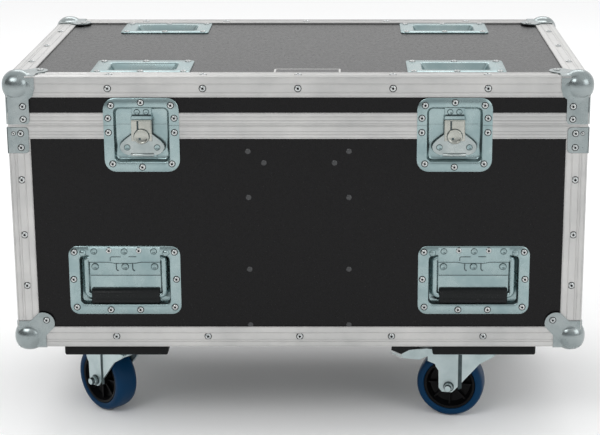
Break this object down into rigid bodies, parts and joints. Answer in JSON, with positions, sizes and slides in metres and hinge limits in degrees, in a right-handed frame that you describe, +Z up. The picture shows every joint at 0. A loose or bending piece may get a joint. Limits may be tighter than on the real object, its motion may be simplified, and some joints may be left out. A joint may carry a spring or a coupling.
{
  "type": "flight case",
  "caption": "Wheeled road trunk with metal-edged panels, ball corners, recessed latches, sprung handles, a hinged lid with stacking dishes and swivel castors.",
  "frame": {"origin": "on the floor under the middle of the case", "axes": "+X to the right and +Z up as seen from the front, whose latches and handles face -Y"},
  "size_m": [0.815, 0.465, 0.5435],
  "materials": {
    "laminate": "black laminate on plywood",
    "aluminium": "plain extrusion",
    "zinc_plate": "zinc-plated pressing",
    "nickel": "nickel-plated",
    "grip_rubber": "matt black",
    "blue_rubber": "dark blue elastic tyre",
    "wheel_nylon": "black nylon"
  },
  "bodies": {
    "case_base": {"base_floor_panel": "laminate", "base_front_panel": "laminate", "base_back_panel": "laminate", "base_left_panel": "laminate", "base_right_panel": "laminate", "base_edge_frame": "aluminium", "base_rim_frame": "aluminium", "base_ball_corner_front_left": "zinc_plate", "base_ball_corner_front_right": "zinc_plate", "base_ball_corner_back_left": "zinc_plate", "base_ball_corner_back_right": "zinc_plate", "castor_board_left": "laminate", "castor_board_right": "laminate", "castor_plate_front_left": "zinc_plate", "castor_plate_front_right": "zinc_plate", "castor_plate_back_left": "zinc_plate", "castor_plate_back_right": "zinc_plate", "hinge_base_leaf": "zinc_plate", "handle_dish_left": "zinc_plate", "handle_dish_right": "zinc_plate", "latch_dish_lower_left": "zinc_plate", "latch_dish_lower_right": "zinc_plate"},
    "lid": {"lid_top_panel": "laminate", "lid_wall_panels": "laminate", "lid_top_frame": "aluminium", "lid_rim_frame": "aluminium", "lid_ball_corner_front_left": "zinc_plate", "lid_ball_corner_front_right": "zinc_plate", "lid_ball_corner_back_left": "zinc_plate", "lid_ball_corner_back_right": "zinc_plate", "castor_dish_front_left": "zinc_plate", "castor_dish_front_right": "zinc_plate", "castor_dish_back_left": "zinc_plate", "castor_dish_back_right": "zinc_plate", "latch_dish_upper_left": "zinc_plate", "latch_dish_upper_right": "zinc_plate", "hinge_lid_leaf": "zinc_plate"},
    "latch_left_plate": {"latch_plate_left": "zinc_plate"},
    "latch_left_turn": {"latch_turn_left": "nickel"},
    "latch_left_hook": {"latch_hook_left": "nickel"},
    "handle_left": {"handle_bail_left": "zinc_plate", "handle_grip_left": "grip_rubber"},
    "latch_right_plate": {"latch_plate_right": "zinc_plate"},
    "latch_right_turn": {"latch_turn_right": "nickel"},
    "latch_right_hook": {"latch_hook_right": "nickel"},
    "handle_right": {"handle_bail_right": "zinc_plate", "handle_grip_right": "grip_rubber"},
    "castor_front_left_fork": {"castor_fork_front_left": "zinc_plate"},
    "castor_front_left_wheel": {"castor_wheel_core_front_left": "wheel_nylon", "castor_tyre_front_left": "blue_rubber"},
    "castor_front_right_fork": {"castor_fork_front_right": "zinc_plate"},
    "castor_front_right_wheel": {"castor_wheel_core_front_right": "wheel_nylon", "castor_tyre_front_right": "blue_rubber"},
    "castor_front_right_brake": {"castor_brake_pedal_front_right": "zinc_plate"},
    "castor_back_left_fork": {"castor_fork_back_left": "zinc_plate"},
    "castor_back_left_wheel": {"castor_wheel_core_back_left": "wheel_nylon", "castor_tyre_back_left": "blue_rubber"},
    "castor_back_right_fork": {"castor_fork_back_right": "zinc_plate"},
    "castor_back_right_wheel": {"castor_wheel_core_back_right": "wheel_nylon", "castor_tyre_back_right": "blue_rubber"}
  },
  "joints": [
    {"name": "lid_hinge", "type": "hinge", "parent": "case_base", "child": "lid", "pos_m": [0, 0.2285, 0.468], "axis": [-1, 0, 0], "range_deg": [0, 100]},
    {"name": "latch_left_tilt", "type": "hinge", "parent": "case_base", "child": "latch_left_plate", "pos_m": [-0.216, -0.221, 0.425], "axis": [1, 0, 0], "range_deg": [0, 60]},
    {"name": "latch_left_turn", "type": "hinge", "parent": "latch_left_plate", "child": "latch_left_turn", "pos_m": [-0.216, -0.2265, 0.4525], "axis": [0, -1, 0], "range_deg": [0, 180]},
    {"name": "latch_left_hook_slide", "type": "slide", "parent": "latch_left_plate", "child": "latch_left_hook", "axis": [0, 0, -1], "range_m": [0, 0.006]},
    {"name": "handle_left_lift", "type": "hinge", "parent": "case_base", "child": "handle_left", "pos_m": [-0.246, -0.2192, 0.2736], "axis": [-1, 0, 0], "range_deg": [0, 90], "stiffness_Nm_per_rad": 0.3},
    {"name": "latch_right_tilt", "type": "hinge", "parent": "case_base", "child": "latch_right_plate", "pos_m": [0.216, -0.221, 0.425], "axis": [1, 0, 0], "range_deg": [0, 60]},
    {"name": "latch_right_turn", "type": "hinge", "parent": "latch_right_plate", "child": "latch_right_turn", "pos_m": [0.216, -0.2265, 0.4525], "axis": [0, -1, 0], "range_deg": [0, 180]},
    {"name": "latch_right_hook_slide", "type": "slide", "parent": "latch_right_plate", "child": "latch_right_hook", "axis": [0, 0, -1], "range_m": [0, 0.006]},
    {"name": "handle_right_lift", "type": "hinge", "parent": "case_base", "child": "handle_right", "pos_m": [0.246, -0.2192, 0.2736], "axis": [-1, 0, 0], "range_deg": [0, 90], "stiffness_Nm_per_rad": 0.3},
    {"name": "castor_front_left_swivel", "type": "hinge", "parent": "case_base", "child": "castor_front_left_fork", "pos_m": [-0.264, -0.137, 0.115], "axis": [0, 0, 1], "continuous": true},
    {"name": "castor_front_left_roll", "type": "hinge", "parent": "castor_front_left_fork", "child": "castor_front_left_wheel", "pos_m": [-0.29447, -0.10809, 0.05], "axis": [-0.6884, -0.7254, 0], "continuous": true},
    {"name": "castor_front_right_swivel", "type": "hinge", "parent": "case_base", "child": "castor_front_right_fork", "pos_m": [0.264, -0.137, 0.115], "axis": [0, 0, 1], "continuous": true},
    {"name": "castor_front_right_roll", "type": "hinge", "parent": "castor_front_right_fork", "child": "castor_front_right_wheel", "pos_m": [0.22292, -0.12827, 0.05], "axis": [-0.2079, -0.9781, 0], "continuous": true},
    {"name": "castor_front_right_brake", "type": "hinge", "parent": "castor_front_right_fork", "child": "castor_front_right_brake", "pos_m": [0.19749, -0.12286, 0.101], "axis": [-0.2079, -0.9781, 0], "range_deg": [0, 12]},
    {"name": "castor_back_left_swivel", "type": "hinge", "parent": "case_base", "child": "castor_back_left_fork", "pos_m": [-0.264, 0.137, 0.115], "axis": [0, 0, 1], "continuous": true},
    {"name": "castor_back_left_roll", "type": "hinge", "parent": "castor_back_left_fork", "child": "castor_back_left_wheel", "pos_m": [-0.30037, 0.158, 0.05], "axis": [-0.5, -0.866, 0], "continuous": true},
    {"name": "castor_back_right_swivel", "type": "hinge", "parent": "case_base", "child": "castor_back_right_fork", "pos_m": [0.264, 0.137, 0.115], "axis": [0, 0, 1], "continuous": true},
    {"name": "castor_back_right_roll", "type": "hinge", "parent": "castor_back_right_fork", "child": "castor_back_right_wheel", "pos_m": [0.30347, 0.15136, 0.05], "axis": [-0.342, 0.9397, 0], "continuous": true}
  ],
  "couplings": [
    {"joint": "latch_left_turn", "follows": "latch_left_hook_slide", "rad_per_m": 523.6},
    {"joint": "latch_right_turn", "follows": "latch_right_hook_slide", "rad_per_m": 523.6}
  ]
}
